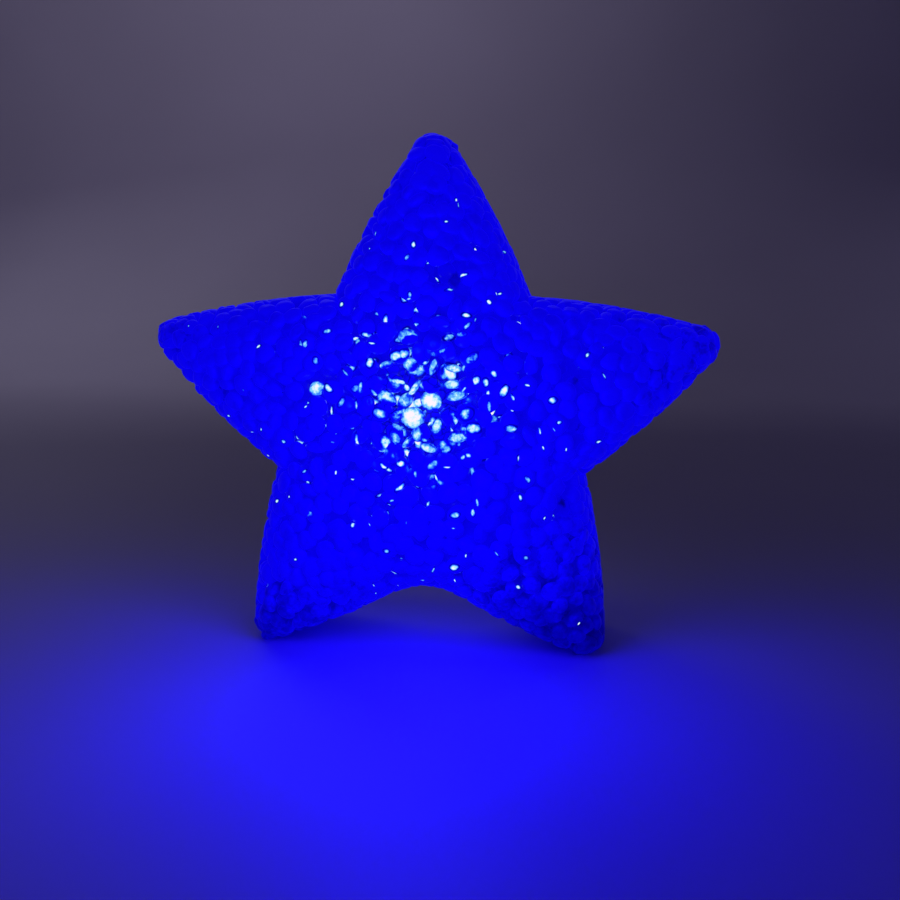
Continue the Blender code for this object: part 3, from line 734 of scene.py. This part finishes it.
def screw_profile(head_r, length):
    """From the top of a pan head, down over the thread's ridges, to the shank's pointed end."""
    profile = arc((0, -SCREW_DOME), head_r, SCREW_DOME, 90, 0, 8)
    profile += [(head_r, -SCREW_HEAD), (SHANK_R, -SCREW_HEAD)]
    for ridge in range(int((length - SCREW_HEAD - SHANK_R) / THREAD_PITCH)):
        start = -SCREW_HEAD - ridge * THREAD_PITCH
        profile.append((SHANK_R, start - 0.3 * THREAD_PITCH))
        profile.append((THREAD_R, start - 0.55 * THREAD_PITCH))
        profile.append((SHANK_R, start - 0.8 * THREAD_PITCH))
    return profile + [(SHANK_R, SHANK_R - length), (TINY, -length)]


def screw_mesh(name, low, high, head_to_back):
    """A pan-head screw that fills the box, with a cross recess in its head and a thread on its shank."""
    way = 1 if head_to_back else -1
    head_r = (high.x - low.x) / 2
    top_y = high.y if head_to_back else low.y
    origin = Vector(((low.x + high.x) / 2, top_y, (low.z + high.z) / 2))
    mesh = turned_mesh(name, screw_profile(head_r, high.y - low.y), origin, (0, way, 0))
    reach, deep = 1.15 * head_r, 1.2 * RECESS_DEEP
    middle = origin - Vector((0, way * RECESS_DEEP / 2, 0))
    cross = [
        cutter_box((reach, deep, RECESS_WIDE), middle),
        cutter_box((RECESS_WIDE, deep, reach), middle),
    ]
    return cut_mesh(mesh, cross)


def make_screws(metal):
    """The cover's three screws, whose heads face the front, and the door's, whose head faces the back."""
    for node in ("cover_screw_1", "cover_screw_2", "cover_screw_3"):
        mesh = screw_mesh(f"{node}_fine", *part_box(node), False)
        add_piece(f"{node}_fine", mesh, [metal], "lamp_unit", "screw_steel", node)
    mesh = screw_mesh("door_screw_fine", *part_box("door_screw"), True)
    add_piece("door_screw_fine", mesh, [metal], "battery_door", "screw_steel", "door_screw")


def cell_profile(outer, thick):
    """From the middle of a button cell's can, round its rim, to its cap; with each step's material."""
    bend_r, rim_top = outer - CELL_ROUND, thick - CELL_STEP
    cap, groove = CELL_CAP_SHARE * outer, thick - 1.25 * CELL_STEP
    profile = [(TINY, 0)]
    profile += arc((bend_r, CELL_ROUND), CELL_ROUND, CELL_ROUND, -90, 0, 6)
    profile += arc((bend_r, rim_top - CELL_ROUND), CELL_ROUND, CELL_ROUND, 0, 90, 6)
    bands = [0] * (len(profile) - 1)
    profile += [(cap + 0.55 * MM, rim_top), (cap + 0.5 * MM, groove)]
    profile += [(cap + 0.05 * MM, groove), (cap, thick - 0.15 * MM)]
    profile += [(cap - 0.15 * MM, thick), (TINY, thick)]
    return profile, bands + [0, 1, 1, 0, 0, 0]


def make_cells(steel, gasket):
    """Button cells with a rounded can, a gasket ring and a raised cap."""
    for number in (1, 2, 3):
        node = f"button_cell_{number}"
        low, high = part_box(node)
        origin = Vector((low.x, (low.y + high.y) / 2, (low.z + high.z) / 2))
        profile, bands = cell_profile((high.z - low.z) / 2, high.x - low.x)
        mesh = turned_mesh(f"{node}_fine", profile, origin, (1, 0, 0), bands)
        add_piece(f"{node}_fine", mesh, [steel, gasket], "lamp_unit", "cell_steel", node)


def bar_mesh(name, low, high, round_r):
    """A box with rounded edges."""
    low, high = Vector(low), Vector(high)
    shape = box_shape(high - low)
    bmesh.ops.translate(shape, vec=(low + high) / 2, verts=shape.verts)
    bmesh.ops.bevel(shape, geom=list(shape.edges), offset=round_r, segments=4, profile=0.5, affect="EDGES")
    mesh = mesh_of(shape, name)
    mesh.shade_smooth()
    mesh.set_sharp_from_angle(angle=SMOOTH_ANGLE)
    return mesh


def make_door_ribs(plastic):
    """Low ribs across the battery door, for a thumb to push on."""
    low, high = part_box("battery_door")
    screw_low, screw_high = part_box("door_screw")
    middle = (screw_low.x + screw_high.x) / 2
    for number in range(RIB_COUNT):
        z = low.z + RIB_FIRST + RIB_PITCH * number
        start = (middle - RIB_HALF_LONG, high.y - SUNK, z - RIB_HALF_WIDE)
        end = (middle + RIB_HALF_LONG, high.y + RIB_TALL, z + RIB_HALF_WIDE)
        name = f"door_rib_{number + 1}"
        mesh = bar_mesh(name, start, end, RIB_ROUND)
        add_piece(name, mesh, [plastic], "battery_door", "white_plastic")


def add_turned(name, profile, middle, plastic, closed=True):
    """Adds a piece of the housing that is turned about the Y direction."""
    mesh = turned_mesh(name, profile, middle, (0, 1, 0), closed=closed)
    add_piece(name, mesh, [plastic], "lamp_unit", "white_plastic")


def make_flange_bead(plastic):
    """A raised bead round the flange's rear face."""
    middle_r = FLANGE_R - BEAD_INSET
    profile = [(middle_r - BEAD_HALF_WIDE, -SUNK), (middle_r + BEAD_HALF_WIDE, -SUNK)]
    profile += arc((middle_r, 0), BEAD_HALF_WIDE, BEAD_TALL, 0, 180, 6)
    add_turned("flange_bead", profile, (LED_CENTRE.x, REAR_FACE_Y, CENTRE_Z), plastic)


def make_switch_dot(plastic):
    """A raised dot beside the switch's on end, where its knob rests."""
    low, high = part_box("switch_frame")
    profile = [(DOT_R, -SUNK)] + arc((0, 0), DOT_R, DOT_TALL, 0, 90, 6)
    middle = (high.x + DOT_OFFSET, REAR_FACE_Y, (low.z + high.z) / 2)
    add_turned("switch_dot", profile, middle, plastic, closed=False)


def make_cup_skin(plastic):
    """A smooth round skin on the side of the housing's cup."""
    cover_low, cover_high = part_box("inner_cover")
    inner = (cover_high.x - cover_low.x) / 2 + SKIN_COVER_GAP
    outer = COLLAR_R - SKIN_COLLAR_GAP
    start, end = HOUSING_LOW.y + SKIN_START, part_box("foam_ring")[1].y
    profile = [(inner, start), (outer, start), (outer, end), (inner, end)]
    add_turned("cup_skin", profile, (LED_CENTRE.x, 0, CENTRE_Z), plastic)


def make_knob(plastic):
    """The switch knob with three grooves across its top."""
    low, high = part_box("switch_knob")
    mesh = bar_mesh("switch_knob_fine", low, high, KNOB_ROUND)
    wide = (high.x - low.x) / 7
    grooves = []
    for k in (1, 3, 5):
        place = (low.x + wide * (k + 0.5), high.y, (low.z + high.z) / 2)
        grooves.append(cutter_box((wide, KNOB_GROOVE, (high.z - low.z) * 1.2), place))
    mesh = cut_mesh(mesh, grooves)
    add_piece("switch_knob_fine", mesh, [plastic], "switch_knob", "black_plastic", "switch_knob")


# ---------------- materials

# Colours of the painted glints by their heat, from blue through cyan to white
HEAT_COLOURS = (
    (0.0, (0.0, 0.0, 0.0)),
    (0.07, (0.0, 0.03, 0.8)),
    (0.17, (0.02, 0.12, 0.78)),
    (0.32, (0.07, 0.33, 0.78)),
    (0.5, (0.2, 0.62, 0.82)),
    (0.7, (0.62, 0.9, 0.86)),
    (0.92, (1.0, 0.9, 0.8)),
)


class Nodes:
    """Short words for building a material's nodes."""

    def __init__(self, name, roughness=0.5, metallic=0.0):
        self.material = bpy.data.materials.new(name)
        self.material.use_nodes = True
        self.tree = self.material.node_tree
        self.shader = self.tree.nodes["Principled BSDF"]
        self.set("Roughness", roughness)
        self.set("Metallic", metallic)

    def set(self, socket, value):
        self.shader.inputs[socket].default_value = value

    def feed(self, socket, source):
        self.tree.links.new(source, self.shader.inputs[socket])

    def node(self, kind, **settings):
        made = self.tree.nodes.new("ShaderNode" + kind)
        for key, value in settings.items():
            setattr(made, key, value)
        return made

    def link(self, source, target):
        if hasattr(source, "node"):
            self.tree.links.new(source, target)
        else:
            target.default_value = source

    def math(self, operation, first, second):
        made = self.node("Math", operation=operation)
        for socket, value in zip(made.inputs, (first, second)):
            self.link(value, socket)
        return made.outputs[0]

    def times(self, first, *factors):
        for factor in factors:
            first = self.math("MULTIPLY", first, factor)
        return first

    def vector(self, operation, first, second):
        made = self.node("VectorMath", operation=operation)
        self.link(first, made.inputs[0])
        self.link(second, made.inputs[1])
        return made.outputs["Value" if operation in ("DISTANCE", "DOT_PRODUCT") else "Vector"]

    def scaled(self, vector, factor):
        made = self.node("VectorMath", operation="SCALE")
        self.link(vector, made.inputs[0])
        self.link(factor, made.inputs["Scale"])
        return made.outputs["Vector"]

    def spread(self, value, low, high, to_low=0.0, to_high=1.0, smooth=True):
        made = self.node("MapRange", interpolation_type="SMOOTHSTEP" if smooth else "LINEAR")
        for socket, item in zip(made.inputs, (value, low, high, to_low, to_high)):
            self.link(item, socket)
        return made.outputs["Result"]

    def attribute(self, name, vector=False):
        made = self.node("Attribute", attribute_name=name)
        return made.outputs["Vector" if vector else "Fac"]

    def place(self):
        return self.node("TexCoord").outputs["Object"]

    def noise(self, vector, scale, detail=2.0, roughness=0.5, colour=False):
        made = self.node("TexNoise")
        self.link(vector, made.inputs["Vector"])
        made.inputs["Scale"].default_value = scale
        made.inputs["Detail"].default_value = detail
        made.inputs["Roughness"].default_value = roughness
        return made.outputs["Color" if colour else "Fac"]

    def ramp(self, value, stops):
        made = self.node("ValToRGB")
        ramp = made.color_ramp
        while len(ramp.elements) < len(stops):
            ramp.elements.new(0.5)
        for element, (at, colour) in zip(ramp.elements, stops):
            element.position = at
            element.color = (*colour, 1)
        self.link(value, made.inputs["Fac"])
        return made.outputs["Color"]

    def bump(self, height, strength, distance):
        made = self.node("Bump")
        made.inputs["Strength"].default_value = strength
        made.inputs["Distance"].default_value = distance
        self.link(height, made.inputs["Height"])
        self.feed("Normal", made.outputs["Normal"])


def oval_glint(n, place, letter):
    """Heat of a pellet's bright oval, highest in its middle, and the painted shade of a dark rim just
    outside it.
    """
    middle = n.attribute(f"glint_{letter}_middle", vector=True)
    away = n.vector("SUBTRACT", place, middle)
    along = n.vector("DOT_PRODUCT", away, n.attribute(f"glint_{letter}_long", vector=True))
    across = n.vector("DOT_PRODUCT", away, n.attribute(f"glint_{letter}_wide", vector=True))
    outside = n.math("ADD", n.times(along, along), n.times(across, across))
    inside = n.math("SUBTRACT", 1.0, n.math("POWER", outside, 1.3))
    heat = n.attribute(f"glint_{letter}_heat")
    rim = n.times(n.spread(outside, 0.9, 1.25), n.spread(outside, 1.5, 2.4, 1.0, 0.0))
    rim = n.times(rim, n.spread(heat, 0.2, 0.6))
    return n.times(n.math("MAXIMUM", inside, 0.0), heat), rim


def deeper_pellets(n, place):
    """Faint pellets behind the bright patch: the heat of the lit ones, and painted shade in dark lines
    between them.
    """
    cells = n.node("TexVoronoi", feature="F1")
    lines = n.node("TexVoronoi", feature="DISTANCE_TO_EDGE")
    for texture in (cells, lines):
        n.link(place, texture.inputs["Vector"])
        texture.inputs["Scale"].default_value = 430
    parts = n.node("SeparateColor")
    n.link(cells.outputs["Color"], parts.inputs[0])
    near = n.spread(n.vector("DISTANCE", place, tuple(HOT_SPOT)), 6 * MM, 15 * MM, 1.0, 0.0)
    blob = n.spread(cells.outputs["Distance"], 0.12, 0.42, 0.55, 0.0, smooth=False)
    line = n.times(n.spread(lines.outputs["Distance"], 0.02, 0.09, 1.0, 0.0), near)
    return n.times(blob, n.spread(parts.outputs[0], 0.6, 0.8), near), line


def blue_level(n, place, own):
    """How blue the painted glow is: less far from the LED, low down, aside, on the right leg, and in
    creases by painted shade.
    """
    share = n.math("DIVIDE", n.vector("DISTANCE", place, tuple(LED_TIP)), GLOW_FADE)
    fade = n.math("DIVIDE", GLOW, n.math("ADD", 1.0, n.math("POWER", share, 3.0)))
    parts = n.node("SeparateXYZ")
    n.link(place, parts.inputs[0])
    x, z = parts.outputs["X"], parts.outputs["Z"]
    # painted shade: the glow is dimmer low down, aside and on the right leg
    low_down = n.spread(z, 0.0, 32 * MM, 0.5, 1.0)
    aside = n.spread(x, 8 * MM, 50 * MM, 1.0, 0.86)
    right_leg = n.times(n.spread(x, 0.0, 18 * MM), n.spread(z, 26 * MM, 42 * MM, 1.0, 0.0))
    dimmer = n.spread(right_leg, 0.0, 1.0, 1.0, RIGHT_LEG_GLOW, smooth=False)
    deep, waves = n.attribute("deep"), n.noise(place, 260, 3.0)
    # painted shade: darker where a place lies deep in a crease between pellets
    crease = n.spread(deep, 0.15, 0.8, 1.0, 0.76)
    ripple = n.spread(waves, 0.32, 0.68, 0.74, 1.12)
    speckle = n.spread(n.noise(own, 750, 3.0, 0.6), 0.34, 0.6, 0.72, 1.06)
    # tone is each pellet's random tone, times the painted shade in the deep gaps for the middle layer
    level = n.times(fade, low_down, aside, dimmer, crease, ripple, speckle, n.attribute("tone"))
    level = n.math("MINIMUM", level, GLOW_CAP)
    # more painted crease shade, and mottling, after the cap
    return n.times(level, n.spread(deep, 0.2, 0.7, 1.0, 0.86), n.spread(waves, 0.34, 0.5, 0.88, 1.0))


def glint_colour(n, own, first, second, deeper):
    """The bright ovals from blue through cyan to white; a second oval with heat below 0 bites the first."""
    glint = n.math("MAXIMUM", first, second)
    glint = n.math("ADD", glint, n.math("MINIMUM", second, 0.0))
    glint = n.math("MAXIMUM", glint, deeper)
    streak = n.spread(n.noise(own, 1000, 2.5, 0.65), 0.3, 0.7, -0.4, 0.3, smooth=False)
    glint = n.math("ADD", glint, n.times(streak, n.spread(glint, 0.0, 0.15, 0.0, 1.0)))
    return n.ramp(glint, HEAT_COLOURS)


def pellet_material():
    """Clear plastic lit from behind, its light painted as glow: blue that fades with distance from the LED,
    with white-hot glints.
    """
    n = Nodes("lit_clear_pellets", roughness=0.3)
    place = n.place()
    own = n.vector("ADD", place, n.attribute("shift", vector=True))
    wander = n.vector("SUBTRACT", n.noise(own, 600, 1.0, colour=True), (0.5, 0.5, 0.5))
    bent = n.vector("ADD", place, n.scaled(wander, 0.55 * MM))
    first, first_rim = oval_glint(n, bent, "a")
    second, second_rim = oval_glint(n, bent, "b")
    deeper, line = deeper_pellets(n, bent)
    # painted shade: the glow is darker in the rims round the glints and in the lines between the faint
    # pellets
    rim = n.math("MAXIMUM", n.math("MAXIMUM", first_rim, second_rim), line)
    level = n.times(blue_level(n, place, own), n.spread(rim, 0.0, 1.0, 1.0, 0.28, smooth=False))
    blue = n.node("CombineXYZ")
    n.link(n.times(level, 0.003), blue.inputs["X"])
    n.link(level, blue.inputs["Z"])
    bright = glint_colour(n, own, first, second, deeper)
    n.feed("Emission Color", n.vector("MAXIMUM", blue.outputs[0], bright))
    n.set("Emission Strength", 1.0)
    n.set("Base Color", (0.01, 0.008, 0.12, 1))
    n.set("IOR", 1.35)
    n.set("Specular IOR Level", 0.3)
    n.material.cycles.emission_sampling = "NONE"
    return n.material


def cloudy(n, cloud, colour, shade):
    """A base colour that wanders between the colour and a slightly darker one."""
    dark = tuple(shade * c for c in colour)
    n.feed("Base Color", n.ramp(cloud, [(0.3, dark), (0.7, colour)]))


def plastic_material(name, colour, roughness=0.42, grain=2600, strength=0.12):
    """Moulded plastic with a fine grain."""
    n = Nodes(name, roughness=roughness)
    place = n.place()
    cloudy(n, n.noise(place, 90, 3.0), colour, 0.9)
    n.bump(n.noise(place, grain, 2.0), strength, 0.05 * MM)
    return n.material


def metal_material(name, colour, roughness):
    """Plated or bare metal with faint wear."""
    n = Nodes(name, roughness=roughness, metallic=1.0)
    place = n.place()
    cloudy(n, n.noise(place, 260, 4.0), colour, 0.82)
    n.bump(n.noise(place, 1500, 3.0), 0.15, 0.03 * MM)
    return n.material


def board_material():
    """Green solder mask with lighter copper tracks under it."""
    n = Nodes("solder_mask", roughness=0.35)
    place = n.place()
    track = n.node("TexWave", wave_type="BANDS", bands_direction="DIAGONAL")
    n.link(place, track.inputs["Vector"])
    track.inputs["Scale"].default_value = 180
    track.inputs["Distortion"].default_value = 3
    line = n.spread(track.outputs["Fac"], 0.72, 0.8)
    n.feed("Base Color", n.ramp(line, [(0.0, (0.01, 0.12, 0.05)), (1.0, (0.05, 0.3, 0.11))]))
    n.bump(line, 0.3, 0.04 * MM)
    return n.material


def led_material():
    """Clear epoxy that glows from its middle."""
    n = Nodes("lit_epoxy", roughness=0.08)
    n.set("Base Color", (0.5, 0.7, 1.0, 1))
    away = n.vector("DISTANCE", n.place(), tuple(LED_CENTRE))
    near = n.spread(away, 0.5 * MM, 4.5 * MM, 1.0, 0.0)
    n.feed("Emission Color", n.ramp(near, [(0.0, (0.01, 0.06, 1.0)), (1.0, (0.7, 0.95, 1.0))]))
    n.set("Emission Strength", LED_GLOW)
    return n.material


def set_looks(white, door):
    """A procedural material for every CAD node that stays."""
    tin = metal_material("tin", (0.78, 0.78, 0.76), 0.3)
    red = plastic_material("red_insulation", (0.55, 0.02, 0.015), 0.45)
    looks = (
        (white, "mounting_collar", "lamp_housing", "inner_cover"),
        (door, "battery_door"),
        (plastic_material("black_foam", (0.035, 0.035, 0.037), 0.9, 1400, 0.8), "foam_ring"),
        (board_material(), "circuit_board"),
        (led_material(), "led"),
        (tin, "led_lead_anode", "led_lead_cathode", "positive_contact", "negative_contact"),
        (plastic_material("chip_glaze", (0.03, 0.03, 0.032), 0.3), "resistor"),
        (metal_material("nickel_plate", (0.7, 0.69, 0.66), 0.28), "switch_frame"),
        (red, "switch_wire_1", "switch_wire_2"),
        (metal_material("spring_wire", (0.6, 0.6, 0.58), 0.3), "negative_spring"),
    )
    for material, *nodes in looks:
        for node in nodes:
            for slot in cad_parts[node].material_slots:
                slot.material = material


def finish_lamp_unit():
    """Looks for the lamp unit's CAD nodes, and its finer pieces."""
    white = plastic_material("white_abs", (0.84, 0.84, 0.82))
    door = plastic_material("white_abs_door", (0.8, 0.8, 0.78), roughness=0.5, grain=1800, strength=0.2)
    set_looks(white, door)
    make_screws(metal_material("dark_zinc", (0.34, 0.34, 0.36), 0.3))
    can = metal_material("cell_can", (0.8, 0.8, 0.78), 0.18)
    make_cells(can, plastic_material("gasket", (0.05, 0.09, 0.2), 0.5))
    make_door_ribs(door)
    make_flange_bead(white)
    make_switch_dot(white)
    make_cup_skin(white)
    make_knob(plastic_material("black_abs", (0.02, 0.02, 0.022), 0.45))


# ---------------- floor, lights and camera


def make_floor():
    """A pale sheet that lies under the star and bends up behind it."""
    profile = [(-FLOOR_HALF, 0.0)]
    profile += arc((WALL_Y - WALL_BEND, WALL_BEND), WALL_BEND, WALL_BEND, -90, 0, 16)
    profile.append((WALL_Y, WALL_HIGH))
    places = [(x, y, z) for y, z in profile for x in (-FLOOR_HALF, FLOOR_HALF)]
    faces = [(2 * i, 2 * i + 1, 2 * i + 3, 2 * i + 2) for i in range(len(profile) - 1)]
    mesh = bpy.data.meshes.new("floor")
    mesh.from_pydata(places, [], faces)
    mesh.shade_smooth()
    n = Nodes("pale_floor", roughness=0.55)
    shades = [(0.3, (0.6, 0.6, 0.62)), (0.7, (0.65, 0.65, 0.67))]
    n.feed("Base Color", n.ramp(n.noise(n.place(), 5, 2.0), shades))
    mesh.materials.append(n.material)
    new_object("floor", mesh)


def new_light(name, kind, place, power, colour):
    """A light that the camera doesn't see."""
    data = bpy.data.lights.new(name, kind)
    data.energy = power
    data.color = colour
    made = new_object(name, data)
    made.location = place
    made.visible_camera = False
    return made


def area_light(name, place, size, power, colour, target=(0, 0, CENTRE_Z)):
    """A round soft light that points at the target."""
    made = new_light(name, "AREA", place, power, colour)
    made.data.shape = "DISK"
    made.data.size = size
    made.rotation_euler = (Vector(target) - Vector(place)).to_track_quat("-Z", "Y").to_euler()
    return made


def glow_light(name, place, radius, power):
    """The star's own blue light on what it stands on; it leaves no mark on the pellets."""
    made = new_light(name, "POINT", place, power, GLOW_COLOUR)
    made.data.shadow_soft_size = radius
    made.data.specular_factor = 0


def shine_on(lights, name, pieces):
    """Lets some lights reach only these pieces."""
    group = bpy.data.collections.new(name)
    for piece in pieces:
        group.objects.link(piece)
    for light in lights:
        light.light_linking.receiver_collection = group


def make_lights():
    """Dim violet light on the room, pale light on the lamp unit and the star's own blue glow."""
    meshes = [p for p in bpy.data.objects if p.type == "MESH"]
    room = [p for p in meshes if p.name == "floor"]
    unit = [p for p in meshes if p not in room and "pellet" not in p.name]
    key = area_light("key", (-0.55, 0.7, 0.42), 0.35, 0.2, (0.8, 0.74, 1.0), (-0.45, 0.4, 0))
    back = area_light("back", (0.6, 0.8, 0.35), 0.3, 0.1, (0.7, 0.62, 1.0), (0.5, 0.5, 0))
    wall = area_light("wall", (-0.3, 0.55, 0.9), 0.5, 1.1, VIOLET_GREY, (-0.5, 1.1, 0.7))
    front = area_light("front", (0.5, -2.3, 1.8), 1.2, 5.0, VIOLET_GREY, (0.5, -2.4, 0))
    front.data.spread = math.radians(100)
    area_light("fill", (0.8, -0.7, 0.7), 0.9, 0.05, (0.8, 0.76, 1.0))
    rear = area_light("lamp_unit_light", (-0.3, 0.45, 0.36), 0.2, 1.7, (1.0, 0.99, 0.98))
    shine_on((key, back, wall, front), "lit_room", room)
    shine_on((rear,), "lit_lamp_unit", unit)
    glow_light("glow_front", (0, -0.05, CENTRE_Z), 0.02, 0.24)
    glow_light("glow_inside", LED_TIP + Vector((0, -5 * MM, 0)), 0.003, 0.006)
    world = bpy.data.worlds.new("studio")
    world.use_nodes = True
    background = world.node_tree.nodes["Background"]
    background.inputs["Color"].default_value = NIGHT_BLUE
    background.inputs["Strength"].default_value = NIGHT_STRENGTH
    bpy.context.scene.world = world


def make_camera():
    """The camera, in front of the star and a little to its right and above it."""
    azimuth, elevation = math.radians(AZIMUTH), math.radians(ELEVATION)
    right = Vector((math.cos(azimuth), math.sin(azimuth), 0))
    back = Vector((math.sin(azimuth), -math.cos(azimuth), 0)) * math.cos(elevation)
    back.z = math.sin(elevation)
    up = back.cross(right)
    data = bpy.data.cameras.new("camera")
    data.lens = LENS
    data.sensor_width = SENSOR
    data.clip_start = 0.01
    data.clip_end = 20
    camera = new_object("camera", data)
    turn = Matrix((right, up, back)).transposed() @ Matrix.Rotation(math.radians(ROLL), 3, "Z")
    place = Vector((0, 0, CENTRE_Z)) + back * DISTANCE + right * SHIFT_RIGHT + up * SHIFT_UP
    camera.matrix_world = Matrix.Translation(place) @ turn.to_4x4()
    bpy.context.scene.camera = camera


make_camera()
make_pellets(pellet_material())
finish_lamp_unit()
make_floor()
make_lights()
bpy.context.scene.view_settings.view_transform = "Standard"
